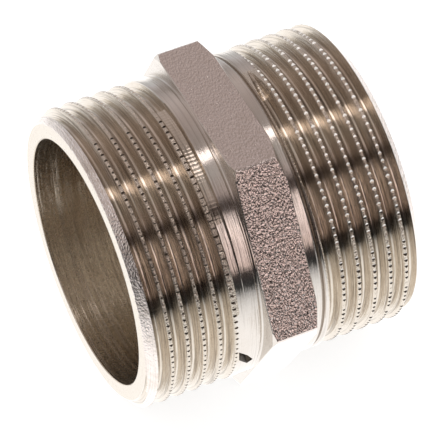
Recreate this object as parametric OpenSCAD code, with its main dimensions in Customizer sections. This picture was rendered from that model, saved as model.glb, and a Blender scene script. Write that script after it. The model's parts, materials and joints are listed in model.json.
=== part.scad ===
/* [Body] */
// Overall length along the pipe axis
body_len = 40; // [40:0.5:60]
// Diameter of the straight bore
bore_d = 34.7; // [20:0.1:36]
// Length of the chamfer at each end, along the axis
end_chamfer_len = 1.3; // [0.5:0.1:2]

/* [Thread] */
// Outside diameter over the thread crests, G 1 1/4
thread_d = 41.91; // [41.7:0.01:42]
// Distance from one crest to the next
thread_pitch = 2.309; // [2.2:0.001:2.4]
// Angle between the two flanks of a groove
thread_angle = 55; // [50:1:60]
// Depth of the groove below the crests
thread_depth = 1.479; // [1:0.001:1.5]
// Width of the groove floor
root_flat = 0.3; // [0.2:0.01:0.35]
// Straight steps in one turn of the groove
steps_per_turn = 48; // [24:12:60]
// Length of the left groove at full depth, from the end face
left_groove_len = 13.07; // [8:0.01:13.1]
// Length of the right groove at full depth, from the end face
right_groove_len = 13.34; // [8:0.01:13.4]
// Turn over which each groove fades out, in degrees
runout_angle = 90; // [45:5:120]
// Direction of the left groove's end, in degrees from the top flat towards the front
left_groove_end = -9; // [-180:1:180]
// Direction of the right groove's end, in degrees from the top flat towards the front
right_groove_end = 25; // [-180:1:180]

/* [Hexagon] */
// Width across the spanner flats
hex_across_flats = 42; // [42:0.5:46]
// Diameter to which the six corners are turned down
hex_corner_d = 48.3; // [46:0.1:48.4]
// Length of the hexagon along the axis
hex_len = 7; // [5:0.5:9]
// Length of the bevel on the left corners, along the axis
left_bevel_len = 0.35; // [0.2:0.05:1]
// Length of the bevel on the right corners, along the axis
right_bevel_len = 0.85; // [0.2:0.05:1]

/* [Relief] */
// Gap between the hexagon and the relief groove in the right collar
relief_gap = 1.5; // [1:0.1:2]
// Width of the relief groove
relief_width = 0.6; // [0.3:0.1:0.8]
// Depth of the relief groove
relief_depth = 0.3; // [0.1:0.05:0.5]

/* [Hidden] */
$fn = 96;

nickel = "#a89b92";
cut_over = 0.25;
thread_r = thread_d / 2;
face_r = thread_r - thread_depth;
corner_r = hex_corner_d / 2;
flank_slope = tan(thread_angle / 2);
half_root = root_flat / 2;

// A place x along the pipe axis, with x running to the right and the flats facing up
module along_axis(x = 0) {
    translate([x, 0, 0]) rotate([0, 90, 0]) children();
}

// The round blank: a cylinder over the thread crests with a chamfer at each end
module blank() {
    half = body_len / 2;
    along_axis() rotate_extrude() polygon([
        [0, -half],
        [face_r, -half],
        [thread_r, -half + end_chamfer_len],
        [thread_r, half - end_chamfer_len],
        [face_r, half],
        [0, half]
    ]);
}

// The turned envelope of the hexagon, whose cones bevel its corners
module hex_envelope() {
    half = hex_len / 2;
    along_axis() rotate_extrude() polygon([
        [0, -half],
        [corner_r - 2 * left_bevel_len, -half],
        [corner_r, -half + left_bevel_len],
        [corner_r, half - right_bevel_len],
        [corner_r - 2 * right_bevel_len, half],
        [0, half]
    ]);
}

// The spanner hexagon, with a flat at the top and a flat to rest on
module hexagon() {
    intersection() {
        along_axis() rotate([0, 0, 30])
            cylinder(d = hex_across_flats / cos(30), h = hex_len, center = true, $fn = 6);
        hex_envelope();
    }
}

// A ring groove with a V section
module relief_groove() {
    x = hex_len / 2 + relief_gap;
    along_axis(x) rotate_extrude() polygon([
        [thread_r - relief_depth, relief_width / 2],
        [thread_r + cut_over, -cut_over / relief_depth * relief_width / 2],
        [thread_r + cut_over, relief_width + cut_over / relief_depth * relief_width / 2]
    ]);
}

// Section of the groove cutter at an angle, with its tip lifted out of the blank
function cutter_section(angle, x, lift) =
    let (tip_r = face_r + lift)
    let (top_r = thread_r + cut_over)
    let (half_top = half_root + max(top_r - tip_r, 0.01) * flank_slope)
    [for (p = [[-half_top, top_r], [-half_root, tip_r], [half_root, tip_r], [half_top, top_r]])
        [x + p[0], -p[1] * sin(angle), p[1] * cos(angle)]];

// Two triangles for each of the four sides between two neighbouring sections
function cutter_sides(count) =
    [for (i = [0:count - 1], k = [0:3])
        let (a = 4 * i + k)
        let (b = 4 * i + (k + 1) % 4)
        each [[a, b + 4, b], [a, a + 4, b + 4]]];

// One right-hand helical groove; x rises as the angle turns from the top flat to the front.
// The tip is at full depth from the start, and is lifted clear over the last part.
module groove_cutter(angle_0, x_0, turns, lifted_end) {
    count = ceil(turns * steps_per_turn);
    sections = [for (i = [0:count])
        let (turned = turns * 360 * i / count)
        let (rest = lifted_end ? turns * 360 - turned : turned)
        let (lift = max(0, 1 - rest / runout_angle) * (thread_depth + cut_over / 5))
        each cutter_section(angle_0 + turned, x_0 + thread_pitch * turned / 360, lift)];
    last = 4 * count;
    polyhedron(
        points = sections,
        faces = concat(
            cutter_sides(count),
            [[1, 2, 3], [0, 1, 3], [last + 2, last + 1, last], [last + 3, last + 2, last]]
        )
    );
}

// The left groove starts outside the left end and fades out before the hexagon
module left_groove() {
    turns = left_groove_len / thread_pitch + 0.7;
    fade = runout_angle / 360;
    groove_cutter(
        angle_0 = left_groove_end - 360 * turns,
        x_0 = -body_len / 2 + left_groove_len - turns * thread_pitch,
        turns = turns + fade,
        lifted_end = true
    );
}

// The right groove fades in after the hexagon and runs out of the right end
module right_groove() {
    turns = right_groove_len / thread_pitch + 0.7;
    fade = runout_angle / 360;
    groove_cutter(
        angle_0 = right_groove_end - runout_angle,
        x_0 = body_len / 2 - right_groove_len - fade * thread_pitch,
        turns = turns + fade,
        lifted_end = false
    );
}

// The whole fitting, turned and threaded from one piece of bar
module nipple_body() {
    color(nickel) difference() {
        union() {
            blank();
            hexagon();
        }
        along_axis() cylinder(d = bore_d, h = body_len + 1, center = true);
        relief_groove();
        left_groove();
        right_groove();
    }
}

nipple_body();
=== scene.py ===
import json
import math
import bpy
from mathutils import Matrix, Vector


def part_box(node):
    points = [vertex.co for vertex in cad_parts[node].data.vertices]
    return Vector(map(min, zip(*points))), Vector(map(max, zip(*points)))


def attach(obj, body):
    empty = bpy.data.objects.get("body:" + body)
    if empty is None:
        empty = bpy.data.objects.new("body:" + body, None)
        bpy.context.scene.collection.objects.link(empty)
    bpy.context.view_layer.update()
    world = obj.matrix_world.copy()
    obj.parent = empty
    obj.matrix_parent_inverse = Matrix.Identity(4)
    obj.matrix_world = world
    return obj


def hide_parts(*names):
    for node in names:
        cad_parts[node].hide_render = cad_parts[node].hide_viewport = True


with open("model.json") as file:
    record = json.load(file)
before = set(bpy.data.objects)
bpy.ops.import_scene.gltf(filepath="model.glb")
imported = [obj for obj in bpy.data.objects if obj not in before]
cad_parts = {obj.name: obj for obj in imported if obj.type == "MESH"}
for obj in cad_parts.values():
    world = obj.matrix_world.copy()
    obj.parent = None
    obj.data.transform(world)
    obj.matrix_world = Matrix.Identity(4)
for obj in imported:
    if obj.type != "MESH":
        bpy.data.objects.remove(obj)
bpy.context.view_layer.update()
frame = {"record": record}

from types import SimpleNamespace

import bmesh
import bpy
import numpy as np
from mathutils import Euler, Matrix, Vector

MM = 0.001

# ---------------------------------------------------------------- sizes, in millimetres and degrees
# x runs along the pipe axis, r is the distance from it, and psi is the angle round it, from the top
# flat towards the front. The outer sizes come from the frame.
BOX_LOW, BOX_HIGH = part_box("nipple_body")
MOUNT_DIMS = {mount["name"]: mount["dims"] for mount in frame["record"]["mounts"]}
HALF_LEN = BOX_HIGH[0] / MM
FLAT_R = BOX_HIGH[2] / MM
CORNER_R = BOX_HIGH[1] / MM
BORE_R = MOUNT_DIMS["flow_bore"]["r_mm"]
CREST_R = MOUNT_DIMS["left_thread"]["r_mm"]

# The G 1 1/4 thread, whose roots and crests are rounded with the radius ROUND
PITCH = 2.309
THREAD_DEPTH = 0.640327 * PITCH
ROUND = 0.137329 * PITCH
ROOT_R = CREST_R - THREAD_DEPTH
HALF_ANGLE = math.radians(27.5)

# The chamfer at each end, and the size of the small breaks on sharp edges
CHAMFER_LEN = 1.3
EDGE = 0.1

# The hexagon. Its corners are turned down, with a bevel at each side that drops BEVEL_SLOPE times
# its length. HEX_CORE_R is anywhere inside the tube's wall, where the hexagon's inner side is hidden.
HEX_HALF = 3.5
HEX_ROUND = 0.3
HEX_CORE_R = 19.0
LEFT_BEVEL = 0.35
RIGHT_BEVEL = 0.85
BEVEL_SLOPE = 2

# Fine grooves in the collars, as points at a distance from UNDERCUT_X or RELIEF_X and at a depth
UNDERCUT_X = -HEX_HALF
UNDERCUT = [(0.62, 0.0), (0.42, 0.12), (0.30, 0.12), (0.12, 0.0)]
RELIEF_X = HEX_HALF + 1.35
RELIEF = [
    (0.0, 0.0),
    (0.05, 0.02),
    (0.42, 0.28),
    (0.50, 0.30),
    (0.62, 0.22),
    (0.72, 0.08),
    (0.84, 0.01),
    (0.95, 0.0),
]

# The left thread is at full depth as far as LEFT_END_X at LEFT_END_PSI. There its floor steps up and its
# sides step out. It then rises round the front to LEFT_LAST_DEPTH and leaves the metal.
LEFT_END_X = -6.93
LEFT_END_PSI = -9.0
LEFT_STEP_PSI = 0.4
LEFT_STEP_LIFT = 0.75
LEFT_STEP_OUT = 0.42
LEFT_FADE = 78.0
LEFT_LAST_DEPTH = 0.09
LEFT_EXIT = 12.0

# The chatter marks in that shallow part: their spacing, their depth, and where they have died away
CHATTER_PSI = 1.45
CHATTER_DEPTH = 0.026
CHATTER_END = 56.0

# The right thread plunges into the collar and is at full depth from RIGHT_START_X at RIGHT_START_PSI
RIGHT_START_X = 6.51
RIGHT_START_PSI = 2.0
RIGHT_PLUNGE = 14.0

# The notches knurled across the crests: how many there are round the fitting, where the first one is,
# how much their depth varies, and each thread's own knurl
KNURL_COUNT = 125
KNURL_PSI = 1.7
KNURL_SHARE = (0.35, 1.1)
LEFT_KNURL = {"x_from": -18.75, "x_to": -7.3, "width": 0.36, "depth": 0.16}
RIGHT_KNURL = {"x_from": 7.5, "x_to": 18.75, "width": 0.56, "depth": 0.19}
SEED = 7

# Corners of the pocket where the threading tool left the left collar: x, psi and depth
EXIT_POCKET = [
    (-7.1, 99.6, 1.3),
    (-6.9, 105.6, 0.0),
    (-5.5, 111.0, 0.0),
    (-4.75, 109.0, 0.2),
    (-5.7, 104.0, 1.2),
]

# The floor of the relief groove, which is painted dark as shade, as distances from RELIEF_X
RELIEF_FLOOR = (0.4, 0.64)
# How deep below the crest cylinder the faces of each of these finishes reach
CREST_BAND = 0.12
NOTCH_BAND = 0.25
COLLAR_BAND = 0.3
# How near to a surface a face lies that belongs to it
TOUCH = 0.005

# Steps in one turn of a lathe's ring and of a helix
LATHE_STEPS = 360
HELIX_STEPS = 180
# How far the thread cutters stand out past the crests, and a radius outside the collars for the others
OVERCUT = 0.3
OUTSIDE_R = CREST_R + 1.0


# ---------------------------------------------------------------- solids
def place(x, r, psi):
    """Points at x, r and psi, as arrays that broadcast together."""
    turn = np.radians(psi)
    x, across, up = np.broadcast_arrays(x, -r * np.sin(turn), r * np.cos(turn))
    return np.stack([x, across, up], axis=-1)


def solid(name, points, faces):
    """A closed mesh object with its faces turned outwards."""
    mesh = bpy.data.meshes.new(name)
    mesh.from_pydata(points.tolist(), [], faces)
    shape = bmesh.new()
    shape.from_mesh(mesh)
    bmesh.ops.recalc_face_normals(shape, faces=shape.faces)
    shape.to_mesh(mesh)
    shape.free()
    thing = bpy.data.objects.new(name, mesh)
    bpy.context.scene.collection.objects.link(thing)
    return thing


def skin(name, grid, ring):
    """A solid through grid[i, j], where each section i is a loop over j.

    A ring joins its last section to its first. Any other solid gets a cap at each end.
    """
    count, across = grid.shape[:2]
    index = np.arange(count * across).reshape(count, across)
    here = index if ring else index[:-1]
    there = np.roll(index, -1, axis=0) if ring else index[1:]
    sides = np.stack([here, np.roll(here, -1, axis=1), np.roll(there, -1, axis=1), there], axis=-1)
    faces = sides.reshape(-1, 4).tolist()
    if not ring:
        faces += [index[0].tolist(), index[-1].tolist()]
    return solid(name, grid.reshape(-1, 3), faces)


def lathe(name, outline):
    """A ring turned from a closed outline of (x, r) points."""
    x, r = np.array(outline).T
    psi = np.arange(LATHE_STEPS)[:, None] * 360 / LATHE_STEPS
    return skin(name, place(x, r, psi), ring=True)


def combine(base, other, operation):
    """Changes base by a boolean operation with other, which is used up."""
    boolean = base.modifiers.new(operation, "BOOLEAN")
    boolean.object = other
    boolean.operation = operation
    boolean.solver = "MANIFOLD"
    shown = base.evaluated_get(bpy.context.evaluated_depsgraph_get())
    mesh = bpy.data.meshes.new_from_object(shown)
    base.modifiers.clear()
    base.data = mesh
    bpy.data.objects.remove(other)


def triangulate(mesh):
    """Splits every face into triangles, so that no face has two corners on one straight side."""
    shape = bmesh.new()
    shape.from_mesh(mesh)
    bmesh.ops.triangulate(shape, faces=shape.faces)
    shape.to_mesh(mesh)
    shape.free()


def end_outline():
    """The right end's outline, from the bore's rim over the end face and chamfer to the crests."""
    return [
        (HALF_LEN - EDGE, BORE_R),
        (HALF_LEN, BORE_R + EDGE),
        (HALF_LEN, ROOT_R - EDGE / 2),
        (HALF_LEN - EDGE / 3, ROOT_R + EDGE / 3),
        (HALF_LEN - CHAMFER_LEN + EDGE / 2, CREST_R - EDGE / 2),
        (HALF_LEN - CHAMFER_LEN - EDGE / 2, CREST_R),
    ]


def blank():
    """The turned tube: bore, end faces and chamfers, and a fine groove in each collar."""
    left = [(-x, r) for x, r in end_outline()]
    left_collar = [(UNDERCUT_X - distance, CREST_R - depth) for distance, depth in UNDERCUT]
    right_collar = [(RELIEF_X + distance, CREST_R - depth) for distance, depth in RELIEF]
    right = list(reversed(end_outline()))
    return lathe("blank", left + left_collar + right_collar + right)


def hex_section(x, inset):
    """The hexagon's rounded outline at x, moved in by inset."""
    apothem = FLAT_R - inset
    corner_round = HEX_ROUND - inset
    centre_r = (apothem - corner_round) / math.cos(math.radians(30))
    points = []
    for corner in range(30, 390, 60):
        centre = place(x, centre_r, corner)
        for step in range(-30, 31, 15):
            points.append(centre + place(0, corner_round, corner + step))
    return points


def hexagon():
    """The spanner hexagon: a prism with broken edges, inside a turned envelope that bevels its corners."""
    breaks = [(-HEX_HALF, EDGE), (-HEX_HALF + EDGE, 0), (HEX_HALF - EDGE, 0), (HEX_HALF, EDGE)]
    prism = skin("prism", np.array([hex_section(x, inset) for x, inset in breaks]), ring=False)
    beyond = 1
    envelope = lathe("envelope", [
        (-HEX_HALF - beyond, HEX_CORE_R),
        (-HEX_HALF - beyond, CORNER_R - BEVEL_SLOPE * (LEFT_BEVEL + beyond)),
        (-HEX_HALF + LEFT_BEVEL, CORNER_R),
        (HEX_HALF - RIGHT_BEVEL, CORNER_R),
        (HEX_HALF + beyond, CORNER_R - BEVEL_SLOPE * (RIGHT_BEVEL + beyond)),
        (HEX_HALF + beyond, HEX_CORE_R),
    ])
    combine(prism, envelope, "INTERSECT")
    return prism


def groove_outline():
    """The thread cutter's section, as (offset from the groove's centre line, height above its tip).

    The rounding of the crest stops at a fifth of the flank's slope, which leaves a narrow land.
    """
    steep = math.pi / 2 - HALF_ANGLE
    root = [(ROUND * math.sin(a), ROUND * (1 - math.cos(a))) for a in np.linspace(0, steep, 5)]
    crest = [(PITCH / 2 - ROUND * math.sin(a), THREAD_DEPTH - ROUND * (1 - math.cos(a)))
             for a in np.linspace(steep, steep / 5, 5)]
    outside = crest[-1][0] + 0.02
    side = root + crest + [(outside, THREAD_DEPTH), (outside, THREAD_DEPTH + OVERCUT)]
    other_side = [(-offset, height) for offset, height in reversed(side[1:])]
    return np.array(other_side + side)


def helix(name, x_0, psi_0, psi, lift, widen):
    """A helical cutter through psi, with its centre line at x_0 at psi_0.

    x rises by one pitch for each turn of psi. At each psi the cutter is lifted and widened.
    """
    offset, height = groove_outline().T
    x = x_0 + PITCH * (psi - psi_0) / 360
    offset = offset + np.sign(offset) * widen[:, None]
    sections = place(x[:, None] + offset, ROOT_R + height + lift[:, None], psi[:, None])
    return skin(name, sections, ring=False)


def left_groove():
    """Full depth from outside the left end, then a shallow chattered part that fades round the front."""
    turns = (HALF_LEN + LEFT_END_X + PITCH / 2) / PITCH
    full = np.arange(-360 * turns, 0, 360 / HELIX_STEPS)
    shallow = np.arange(0, LEFT_FADE, CHATTER_PSI / 4)
    leaving = np.arange(LEFT_FADE, LEFT_FADE + LEFT_EXIT + 1, 1.0)
    wave = -np.abs(np.sin(np.pi * shallow / CHATTER_PSI)) * np.clip(1 - shallow / CHATTER_END, 0, 1)
    last_lift = THREAD_DEPTH - LEFT_LAST_DEPTH
    ramp = LEFT_STEP_LIFT + (last_lift - LEFT_STEP_LIFT) * shallow / LEFT_FADE
    clear = 0.01
    out = last_lift + (LEFT_LAST_DEPTH + clear) * (leaving - LEFT_FADE) / LEFT_EXIT
    lift = np.concatenate([full * 0, ramp + CHATTER_DEPTH * wave, out])
    psi = np.concatenate([full, shallow + LEFT_STEP_PSI, leaving + LEFT_STEP_PSI]) + LEFT_END_PSI
    widen = np.where(psi > LEFT_END_PSI, LEFT_STEP_OUT, 0.0)
    return helix("left_groove", LEFT_END_X, LEFT_END_PSI, psi, lift, widen)


def right_groove():
    """A short plunge from the collar to full depth, then out through the right end."""
    turns = (HALF_LEN - RIGHT_START_X + PITCH / 2) / PITCH
    plunge = np.arange(-RIGHT_PLUNGE, 0, 1.0)
    full = np.arange(0, 360 * turns, 360 / HELIX_STEPS)
    lift = np.concatenate([-plunge / RIGHT_PLUNGE * THREAD_DEPTH, full * 0])
    psi = np.concatenate([plunge, full]) + RIGHT_START_PSI
    return helix("right_groove", RIGHT_START_X, RIGHT_START_PSI, psi, lift, psi * 0)


def knurl(x_from, x_to, width, depth):
    """A ring with V teeth pointing inwards, of uneven depth, that notches the crests."""
    clear = 0.02
    fade = 0.15
    half = np.degrees(width / 2 * (1 + clear / depth) / CREST_R)
    tooth = 360 / KNURL_COUNT * np.arange(KNURL_COUNT)[:, None]
    psi = (KNURL_PSI + tooth + np.array([-half, 0, half])).ravel()
    struck = np.random.default_rng(SEED).uniform(*KNURL_SHARE, KNURL_COUNT)
    point = np.stack([0 * struck, depth * struck + clear, 0 * struck], axis=1).ravel()
    sections = [(x_from - fade, 0), (x_from, 1), (x_to, 1), (x_to + fade, 0)]
    rings = [place(x, CREST_R + clear - point * share, psi) for x, share in sections]
    outer = [place(x, OUTSIDE_R + 0 * psi, psi) for x in (x_to + fade, x_from - fade)]
    return skin("knurl", np.stack(rings + outer, axis=1), ring=True)


def exit_pocket():
    """The cutter for the small pocket in the left collar, whose floor slopes up to the surface."""
    x, psi, depth = np.array(EXIT_POCKET).T
    clear = 0.01
    floor = place(x, CREST_R + clear - depth, psi)
    top = place(x, OUTSIDE_R, psi)
    faces = [[0, 1, 4], [1, 2, 4], [2, 3, 4], [9, 8, 7, 6, 5]]
    faces += [[i, (i + 1) % 5, (i + 1) % 5 + 5, i + 5] for i in range(5)]
    return solid("pocket", np.concatenate([floor, top]), faces)


def nipple():
    """The whole fitting as one closed mesh."""
    body = blank()
    combine(body, hexagon(), "UNION")
    combine(body, knurl(**LEFT_KNURL), "DIFFERENCE")
    combine(body, knurl(**RIGHT_KNURL), "DIFFERENCE")
    combine(body, left_groove(), "DIFFERENCE")
    combine(body, right_groove(), "DIFFERENCE")
    combine(body, exit_pocket(), "DIFFERENCE")
    triangulate(body.data)
    body.name = "nipple"
    return body


# ---------------------------------------------------------------- surfaces
def around(vectors):
    """psi of each vector's part across the pipe axis, in radians."""
    return np.arctan2(-vectors[:, 1], vectors[:, 2])


def read(mesh):
    """The position of each corner, the number of its face, and the normal of each face."""
    points = np.empty(len(mesh.vertices) * 3)
    mesh.vertices.foreach_get("co", points)
    corners = np.empty(len(mesh.loops), int)
    mesh.loops.foreach_get("vertex_index", corners)
    sizes = np.empty(len(mesh.polygons), int)
    mesh.polygons.foreach_get("loop_total", sizes)
    normals = np.empty(len(mesh.polygons) * 3)
    mesh.polygons.foreach_get("normal", normals)
    face = np.repeat(np.arange(len(sizes)), sizes)
    return points.reshape(-1, 3)[corners], face, normals.reshape(-1, 3)


def highest(values, face, count):
    """The highest of the corner values of each of count faces."""
    result = np.full(count, -np.inf)
    np.maximum.at(result, face, values)
    return result


def survey(mesh):
    """Where each face is, how far it reaches, and how far it looks along x, outwards and round the axis."""
    corner, face, normal = read(mesh)
    count = len(normal)
    sizes = np.bincount(face, minlength=count)
    middle = np.stack([np.bincount(face, corner[:, k], count) / sizes for k in range(3)], axis=1)
    corner_r = np.hypot(corner[:, 1], corner[:, 2])
    across = np.hypot(normal[:, 1], normal[:, 2])
    turn = around(normal) - around(middle)
    faces = SimpleNamespace(
        corner=corner,
        face=face,
        normal=normal,
        x=middle[:, 0],
        r=np.hypot(middle[:, 1], middle[:, 2]),
        psi=np.degrees(around(middle)),
        left=middle[:, 0] < 0,
        r_low=-highest(-corner_r, face, count),
        r_high=highest(corner_r, face, count),
        x_high=highest(corner[:, 0], face, count),
        along=normal[:, 0].copy(),
        radial=across * np.sign(np.cos(turn)),
        tangent=across * np.sin(turn),
    )
    classify(faces)
    return faces


def classify(faces):
    """Marks the faces on the crest cylinder, those square to the axis, all plane ones, and each region."""
    faces.on_crest = (faces.r_low > CREST_R - TOUCH) & (faces.r_high < CREST_R + TOUCH)
    faces.along[faces.on_crest] = 0
    faces.radial[faces.on_crest] = 1
    faces.square = np.abs(faces.along) > 0.999
    planed = (np.abs(faces.along) < 0.02) & (faces.r_high - faces.r_low > 0.03)
    leaning = np.abs(faces.tangent) > 0.035
    faces.plane = (faces.square | planed | leaning) & ~faces.on_crest
    faces.in_hex = (np.abs(faces.x) < HEX_HALF + 0.01) & (faces.r_high > CREST_R + 0.02)
    faces.threaded = threaded(faces)
    faces.chamfer = chamfer(faces)


def threaded(faces):
    """Faces in the threads, which end half a pitch past each groove's last turn."""
    last_turn = np.where(faces.psi > LEFT_END_PSI, faces.psi - 360, faces.psi) - LEFT_END_PSI
    left_limit = LEFT_END_X + PITCH * last_turn / 360 + PITCH / 2
    before_plunge = faces.psi < RIGHT_START_PSI - RIGHT_PLUNGE
    first_turn = np.where(before_plunge, faces.psi + 360, faces.psi) - RIGHT_START_PSI
    right_limit = RIGHT_START_X + PITCH * first_turn / 360 - PITCH / 2
    return np.where(faces.left, faces.x < left_limit, faces.x > right_limit)


def chamfer(faces):
    """Faces on the cones at the two ends."""
    cone_r = ROOT_R + (HALF_LEN - np.abs(faces.x)) * THREAD_DEPTH / CHAMFER_LEN
    near_end = np.abs(faces.x) > HALF_LEN - CHAMFER_LEN
    outwards = faces.along * np.sign(faces.x) > 0.5
    return near_end & outwards & (np.abs(faces.r - cone_r) < 0.05) & ~faces.square


def notched(faces):
    """Faces cut by the knurls."""
    steep = (np.abs(faces.along) < 0.1) & (np.abs(faces.tangent) > 0.3)
    in_knurl = (faces.x < LEFT_KNURL["x_to"]) | (faces.x > RIGHT_KNURL["x_from"])
    return steep & in_knurl & (faces.r_low > CREST_R - NOTCH_BAND)


def pocketed(faces):
    """Faces of the pocket, found by its corners' reach and a small margin."""
    x, psi, _ = np.array(EXIT_POCKET).T
    in_x = (faces.x > x.min() - 0.1) & (faces.x < x.max() + 0.1)
    in_psi = (faces.psi > psi.min() - 0.5) & (faces.psi < psi.max() + 0.5)
    return in_x & in_psi & faces.plane & ~faces.square & ~faces.in_hex


def choose(faces, names):
    """The number of each face's finish in names. A later rule overrules an earlier one."""
    notch = notched(faces)
    near_crest = faces.r_low > CREST_R - COLLAR_BAND
    beside_thread = np.where(faces.left, faces.x_high > LEFT_END_X + 0.3, ~faces.threaded)
    in_relief = (faces.x > RELIEF_X + RELIEF_FLOOR[0]) & (faces.x < RELIEF_X + RELIEF_FLOOR[1])
    rules = [
        ("crest", faces.r_low > CREST_R - CREST_BAND),
        ("collar", near_crest & beside_thread & (np.abs(faces.along) < 0.9)),
        # Painted shade: a dark band on the floor of the relief groove, all the way round
        ("relief", in_relief & (faces.r_high < CREST_R - 0.2)),
        # Painted shade: the pocket, and the notch walls that turn away from the top, get a near-black
        # finish
        ("pit_shade", pocketed(faces) | (notch & (faces.normal[:, 2] < 0.8))),
        # Painted highlight: the right knurl's notch walls that face one way round get a pale, half-metal
        # finish, which shows as white dots
        ("notch_highlight", notch & ~faces.left & (faces.tangent > 0)),
        ("hex_face", faces.in_hex & (np.abs(faces.along) > 0.2)),
        ("hex_flat", faces.in_hex & (np.abs(faces.along) <= 0.2)),
        ("bore", faces.r_low < BORE_R + EDGE / 2),
        ("end_face", faces.square & (np.abs(faces.x) > HALF_LEN - TOUCH)),
        ("chamfer", faces.chamfer),
    ]
    finish = np.full(len(faces.x), names.index("thread"))
    for name, chosen in rules:
        finish[chosen] = names.index(name)
    return finish


def groove_normal(x, psi, left):
    """The exact normal of the thread, along x and outwards, from the distance to the nearest groove."""
    x_0 = np.where(left, LEFT_END_X, RIGHT_START_X)
    psi_0 = np.where(left, LEFT_END_PSI, RIGHT_START_PSI)
    offset = x - x_0 - PITCH * (psi - psi_0) / 360
    offset -= PITCH * np.round(offset / PITCH)
    slope = np.minimum(np.abs(offset), PITCH / 2 - np.abs(offset)) / ROUND
    slope = np.minimum(slope, math.cos(HALF_ANGLE))
    return -np.sign(offset) * slope, np.sqrt(1 - slope ** 2)


def curve_normals(faces):
    """A normal for each corner, as the true cylinder, cone, thread or plane has it."""
    true_along, true_radial = groove_normal(faces.x, faces.psi, faces.left)
    agrees = faces.along * true_along + faces.radial * true_radial > 0.93
    thread = agrees & faces.threaded & ~faces.square & ~faces.chamfer & (faces.r_low > ROOT_R - 0.1)

    face = faces.face
    psi = np.degrees(around(faces.corner))
    normals = place(faces.along[face], faces.radial[face], psi)
    on_thread = thread[face]
    true_along, true_radial = groove_normal(faces.corner[:, 0], psi, faces.left[face])
    normals[on_thread] = place(true_along, true_radial, psi)[on_thread]
    on_plane = faces.plane[face]
    normals[on_plane] = faces.normal[face][on_plane]
    return normals


def shade(body, names):
    """Gives each face its finish, and each corner the normal of the true curve."""
    mesh = body.data
    faces = survey(mesh)
    mesh.polygons.foreach_set("material_index", choose(faces, names))
    mesh.shade_smooth()
    sharp = mesh.attributes.new("sharp_edge", "BOOLEAN", "EDGE")
    sharp.data.foreach_set("value", np.ones(len(mesh.edges), bool))
    mesh.normals_split_custom_set(curve_normals(faces).tolist())


# ---------------------------------------------------------------- materials
class Graph:
    """Short calls for building one node tree. A value is a number, a tuple or another node's socket."""

    def __init__(self, tree):
        self.tree = tree
        tree.nodes.clear()

    def feed(self, socket, value):
        """Links the socket to another node, or sets its plain value."""
        if isinstance(value, bpy.types.NodeSocket):
            self.tree.links.new(value, socket)
        else:
            socket.default_value = value

    def add(self, kind, inputs=None, **settings):
        """A new node with its settings and inputs."""
        node = self.tree.nodes.new("ShaderNode" + kind)
        for name, value in settings.items():
            setattr(node, name, value)
        for name, value in (inputs or {}).items():
            self.feed(node.inputs[name], value)
        return node

    def math(self, operation, a, b=0.0):
        return self.add("Math", {0: a, 1: b}, operation=operation).outputs[0]

    def total(self, a, b):
        return self.math("ADD", a, b)

    def product(self, a, b):
        return self.math("MULTIPLY", a, b)

    def stretch(self, vector, factors):
        """The vector with each of its parts multiplied by its own factor."""
        return self.add("VectorMath", {0: vector, 1: factors}, operation="MULTIPLY").outputs[0]

    def blend(self, kind, factor, a, b):
        """Colour a changed by colour b, as far as factor says."""
        node = self.add("Mix", {0: factor, 6: a, 7: b}, data_type="RGBA", blend_type=kind)
        return node.outputs[2]

    def remap(self, value, from_low, from_high, to_low, to_high):
        """The value carried from one range to another, and held at the ends."""
        sockets = {"Value": value, 1: from_low, 2: from_high, 3: to_low, 4: to_high}
        return self.add("MapRange", sockets).outputs[0]

    def noise(self, vector, scale, detail, rough):
        sockets = {"Vector": vector, "Scale": scale, "Detail": detail, "Roughness": rough}
        return self.add("TexNoise", sockets).outputs["Fac"]

    def output(self, shader):
        self.add("OutputMaterial", {"Surface": shader})


NICKEL = (0.67, 0.63, 0.585, 1.0)
BRIGHT_NICKEL = (0.84, 0.77, 0.73, 1.0)
PINK_NICKEL = (0.73, 0.665, 0.63, 1.0)
WARM_NICKEL = (0.655, 0.595, 0.515, 1.0)
BORE_NICKEL = (0.59, 0.52, 0.43, 1.0)
DULL_NICKEL = (0.56, 0.49, 0.41, 1.0)
# Dark brown, painted as shade on the floor of the relief groove
RELIEF_SHADE = (0.25, 0.2, 0.155, 1.0)
# Pale and half metal, painted as highlights on one side of the right knurl's notches
NOTCH_HIGHLIGHT = (0.85, 0.82, 0.78, 1.0)
# Dark brown, painted as shade into the deepest turning lines
LINE_SHADE = (0.12, 0.09, 0.065, 1.0)
# Near black, painted as shade in the pocket and in the knurl notches
PIT_SHADE = (0.05, 0.04, 0.03, 1.0)

# How fast the turning lines change along y and z, so that no line is the same all the way round
LINE_DRIFT = (0.012, 0.02)
# How much narrower the blasted grain is along x, y and z
GRAIN_SQUEEZE = (1.6, 1, 1)


def coordinates(graph):
    """The position in mm, and a vector of x, r and a slow drift, which is nearly the same round a ring."""
    own = graph.add("TexCoord").outputs["Object"]
    position = graph.stretch(own, (1000, 1000, 1000))
    x, y, z = graph.add("SeparateXYZ", {0: position}).outputs
    r = graph.math("SQRT", graph.total(graph.product(y, y), graph.product(z, z)))
    drift = graph.total(graph.product(y, LINE_DRIFT[0]), graph.product(z, LINE_DRIFT[1]))
    rings = graph.add("CombineXYZ", {0: x, 1: r, 2: drift}).outputs[0]
    return position, rings


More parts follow.
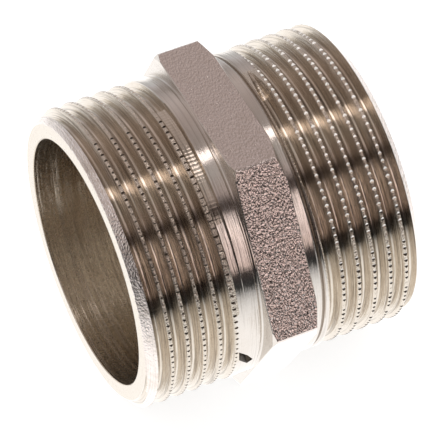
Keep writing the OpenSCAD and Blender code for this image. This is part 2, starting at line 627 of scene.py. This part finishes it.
def nickel(name, base, roughness, lines, grain, stain, octaves=2, line_shade=0.0, metallic=1.0):
    """Plated metal with turning lines and blasted grain as bump, each given as (size, height) in mm.

    stain is how far cloudy patches turn dull, and line_shade is how far painted shade darkens the deepest
    turning lines.
    """
    line_size, line_height = lines
    grain_size, grain_height = grain
    material = bpy.data.materials.new(name)
    material.use_nodes = True
    graph = Graph(material.node_tree)
    position, rings = coordinates(graph)

    fine_lines = graph.noise(rings, 1 / line_size, 3.0, 0.6)
    broad_lines = graph.noise(rings, 0.25 / line_size, 1.0, 0.5)
    turned = graph.total(graph.product(fine_lines, 0.6), graph.product(broad_lines, 1.2))
    blasted = graph.noise(graph.stretch(position, GRAIN_SQUEEZE), 1 / grain_size, octaves, 0.5)
    height = graph.total(graph.product(turned, line_height), graph.product(blasted, grain_height))
    bump = graph.add("Bump", {"Height": height, "Strength": 1.0, "Distance": MM})

    cloud = graph.noise(position, 0.35, 3.0, 0.6)
    spots = graph.noise(position, 2.2, 2.0, 0.5)
    tarnish = graph.remap(graph.total(cloud, graph.product(spots, 0.35)), 0.62, 0.95, 0.0, stain)
    colour = graph.blend("MIX", tarnish, base, DULL_NICKEL)
    # Painted shade: the deepest turning lines are darkened towards a dark brown
    colour = graph.blend("MIX", graph.remap(fine_lines, 0.36, 0.48, line_shade, 0.0), colour, LINE_SHADE)
    rough = graph.remap(graph.total(fine_lines, spots), 0.7, 1.4, roughness * 0.75, roughness * 1.3)
    sockets = {"Base Color": colour, "Metallic": metallic, "Roughness": rough, "Normal": bump.outputs[0]}
    graph.output(graph.add("BsdfPrincipled", sockets).outputs[0])
    return material


def metals():
    """One finish for each kind of surface."""
    smooth = {"lines": (0.2, 0.01), "grain": (0.3, 0.01), "stain": 0.0}
    return [
        nickel("thread", WARM_NICKEL, 0.09, lines=(0.25, 0.14), grain=(0.5, 0.004), stain=0.4, line_shade=0.5),
        nickel("crest", WARM_NICKEL, 0.07, lines=(0.3, 0.02), grain=(0.26, 0.14), stain=0.3),
        nickel("collar", NICKEL, 0.11, lines=(0.25, 0.09), grain=(0.4, 0.006), stain=0.3, line_shade=0.15),
        nickel("hex_face", NICKEL, 0.22, lines=(0.2, 0.012), grain=(0.22, 0.03), stain=0.2),
        nickel("hex_flat", PINK_NICKEL, 0.03, lines=(0.1, 0.0), grain=(0.36, 0.12), stain=0.2, octaves=1),
        nickel("end_face", WARM_NICKEL, 0.25, lines=(0.2, 0.01), grain=(0.2, 0.02), stain=0.1),
        nickel("chamfer", BRIGHT_NICKEL, 0.06, lines=(0.2, 0.01), grain=(0.32, 0.12), stain=0.6, line_shade=0.2),
        nickel("bore", BORE_NICKEL, 0.26, lines=(0.25, 0.12), grain=(0.5, 0.004), stain=0.0, line_shade=0.25),
        nickel("relief", RELIEF_SHADE, 0.3, **smooth),
        nickel("pit_shade", PIT_SHADE, 0.35, **smooth),
        nickel("notch_highlight", NOTCH_HIGHLIGHT, 0.3, **smooth, metallic=0.35),
    ]


# ---------------------------------------------------------------- studio, in metres and degrees
CAMERA_AZIMUTH = -24.0
CAMERA_ELEVATION = 46.62
CAMERA_DISTANCE = 512 * MM
CAMERA_LENS = 310.0
CAMERA_ROLL = -1.54
CAMERA_SHIFT = (-0.03 * MM, -0.458 * MM)

LAMP_SIZE = (1.6, 0.07)
LAMP_PLACE = (0.35, 0.03, 500 * MM)
LAMP_COLOUR = (1.0, 0.9, 0.88)
LAMP_STRENGTH = 1.8

TABLE_RADIUS = 0.55
# How far back the table's pool of light is centred, which is also where the table starts to fade
TABLE_BACK = 0.03

# What the metal reflects: angle from the back horizon over the top to the front horizon, and colour
ROOM_STOPS = [
    (0, (0.62, 0.58, 0.58)),
    (10, (0.44, 0.40, 0.39)),
    (30, (0.62, 0.54, 0.52)),
    (50, (0.49, 0.41, 0.385)),
    (72, (0.42, 0.36, 0.34)),
    (100, (0.55, 0.50, 0.48)),
    (116, (0.52, 0.43, 0.41)),
    (124, (0.08, 0.06, 0.055)),
    (130, (0.10, 0.075, 0.07)),
    (136, (1.45, 1.23, 1.18)),
    (144, (1.75, 1.47, 1.41)),
    (158, (1.25, 1.01, 0.96)),
    (172, (1.12, 0.89, 0.83)),
    (178, (0.03, 0.025, 0.022)),
]
# The light lost on the right-hand side, over ranges of the same angle
SIDE_LOSSES = [(5.0, 25.0, 0.35), (60.0, 120.0, 0.35), (122.0, 136.0, 0.3)]
PANEL_COLOUR = (0.8, 0.74, 0.72, 1)
FLOOR_FRONT = (0.05, 0.04, 0.04, 1)
FLOOR_BACK = (0.66, 0.64, 0.67, 1)
WHITE_ROOM = (1.1, 1.1, 1.1, 1)


def camera():
    """The camera, looking down at the fitting from its left front."""
    turn = math.radians(CAMERA_AZIMUTH)
    rise = math.radians(CAMERA_ELEVATION)
    back = Vector((math.cos(rise) * math.sin(turn), -math.cos(rise) * math.cos(turn), math.sin(rise)))
    data = bpy.data.cameras.new("camera")
    data.lens = CAMERA_LENS
    data.clip_start = 0.01
    eye = bpy.data.objects.new("camera", data)
    roll = Euler((0, 0, math.radians(CAMERA_ROLL))).to_matrix()
    rotation = back.to_track_quat("Z", "Y").to_matrix() @ roll
    eye.rotation_euler = rotation.to_euler()
    eye.location = back * CAMERA_DISTANCE + rotation @ Vector((*CAMERA_SHIFT, 0))
    bpy.context.scene.collection.objects.link(eye)
    bpy.context.scene.camera = eye


def room_colour(graph, angle):
    """The colour of the room at an angle from the back horizon."""
    ramp = graph.add("ValToRGB", {0: graph.math("DIVIDE", angle, 180.0)})
    stops = ramp.color_ramp.elements
    while len(stops) > 1:
        stops.remove(stops[-1])
    for at, colour in ROOM_STOPS:
        stop = stops.new(at / 180)
        stop.color = (*colour, 1)
    stops.remove(stops[0])
    return ramp.outputs[0]


def room_brightness(graph, side, angle):
    """How much of that colour is left: less to the right, and little in front from the middle leftwards."""
    loss = 0.0
    for start, end, share in SIDE_LOSSES:
        loss = graph.total(loss, graph.remap(angle, start, end, 0.0, share))
    right = graph.remap(side, 0.3, 0.65, 0.0, 1.0)
    far_right = graph.remap(side, 0.88, 0.97, 1.0, 0.2)
    front = graph.remap(angle, 122.0, 136.0, 0.0, 1.0)
    gap = graph.product(front, graph.remap(side, 0.0, 0.14, 0.95, 0.0))
    bright = graph.product(graph.math("SUBTRACT", 1.0, graph.product(right, loss)), far_right)
    return graph.product(bright, graph.math("SUBTRACT", 1.0, gap))


def panel(graph, side, angle):
    """How much a narrow upright panel at the right front adds."""
    off_centre = graph.math("ABSOLUTE", graph.math("SUBTRACT", side, 0.62))
    across = graph.remap(off_centre, 0.03, 0.07, 1.0, 0.0)
    top = graph.remap(angle, 110.0, 150.0, 0.0, 1.0)
    foot = graph.remap(angle, 170.0, 178.0, 1.0, 0.0)
    return graph.product(graph.product(across, top), foot)


def room():
    """A plain white studio, which the metal sees as a dim warm room with a bright front."""
    world = bpy.data.worlds.new("room")
    bpy.context.scene.world = world
    world.use_nodes = True
    graph = Graph(world.node_tree)
    direction = graph.add("TexCoord").outputs["Generated"]
    side, depth, height = graph.add("SeparateXYZ", {0: direction}).outputs
    angle = graph.math("DEGREES", graph.math("ARCTAN2", height, depth))
    sockets = {0: room_colour(graph, angle), "Scale": room_brightness(graph, side, angle)}
    seen = graph.add("VectorMath", sockets, operation="SCALE").outputs[0]
    seen = graph.blend("ADD", panel(graph, side, angle), seen, PANEL_COLOUR)
    floor = graph.blend("MIX", graph.remap(depth, -0.2, 0.2, 0.0, 1.0), FLOOR_FRONT, FLOOR_BACK)
    seen = graph.blend("MIX", graph.math("GREATER_THAN", height, 0.0), floor, seen)
    path = graph.add("LightPath").outputs
    colour = graph.blend("MIX", path["Is Glossy Ray"], WHITE_ROOM, seen)
    background = graph.add("Background", {"Color": colour, "Strength": 1.0})
    graph.add("OutputWorld", {"Surface": background.outputs[0]})


def lamp():
    """A long softbox over the fitting, parallel to the pipe."""
    data = bpy.data.lights.new("softbox", "AREA")
    data.shape = "RECTANGLE"
    data.size, data.size_y = LAMP_SIZE
    data.energy = LAMP_STRENGTH * math.pi * data.size * data.size_y
    data.color = LAMP_COLOUR
    light = bpy.data.objects.new("softbox", data)
    light.location = LAMP_PLACE
    light.visible_camera = False
    bpy.context.scene.collection.objects.link(light)


def table_glow(graph):
    """How bright the metal sees the table: a painted pool of light round the fitting, and a fading far
    side.
    """
    own = graph.add("TexCoord").outputs["Object"]
    x, y, _ = graph.add("SeparateXYZ", {0: own}).outputs
    shorter_left = graph.math("MINIMUM", x, graph.product(x, 1.35))
    spot = graph.add("CombineXYZ", {0: shorter_left, 1: y}).outputs[0]
    pool = graph.add("VectorMath", {0: spot, 1: (0, TABLE_BACK, 0)}, operation="DISTANCE").outputs["Value"]
    fading = graph.remap(y, TABLE_BACK, 0.16, 1.4, 0.66)
    behind = graph.product(fading, graph.math("GREATER_THAN", y, TABLE_BACK))
    return graph.math("MAXIMUM", graph.remap(pool, 0.07, 0.21, 1.4, 0.03), behind)


def table():
    """A plain white table under the fitting. It glows evenly for the camera, and the metal sees a painted
    pool of light on it.
    """
    bpy.ops.mesh.primitive_circle_add(vertices=96, radius=TABLE_RADIUS, fill_type="NGON")
    top = bpy.context.object
    top.name = "table"
    top.location = (0, 0, BOX_LOW[2])
    material = bpy.data.materials.new("table")
    material.use_nodes = True
    graph = Graph(material.node_tree)
    painted_pool = graph.add("Emission", {"Color": (1, 0.99, 0.99, 1), "Strength": table_glow(graph)})
    plain = graph.add("BsdfDiffuse", {"Color": (0.4, 0.4, 0.4, 1)})
    even_glow = graph.add("Emission", {"Color": (1, 1, 1, 1), "Strength": 0.75})
    paper = graph.add("AddShader", {0: plain.outputs[0], 1: even_glow.outputs[0]})
    path = graph.add("LightPath").outputs
    sockets = {0: path["Is Glossy Ray"], 1: paper.outputs[0], 2: painted_pool.outputs[0]}
    graph.output(graph.add("MixShader", sockets).outputs[0])
    top.data.materials.append(material)


# ---------------------------------------------------------------- the piece
body = nipple()
body.data.materials.clear()
finishes = metals()
for finish in finishes:
    body.data.materials.append(finish)
body.data.validate()
shade(body, [finish.name for finish in finishes])
body.data.transform(Matrix.Scale(MM, 4))
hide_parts("nipple_body")
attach(body, "root")

table()
lamp()
room()
camera()
bpy.context.scene.view_settings.view_transform = "Standard"
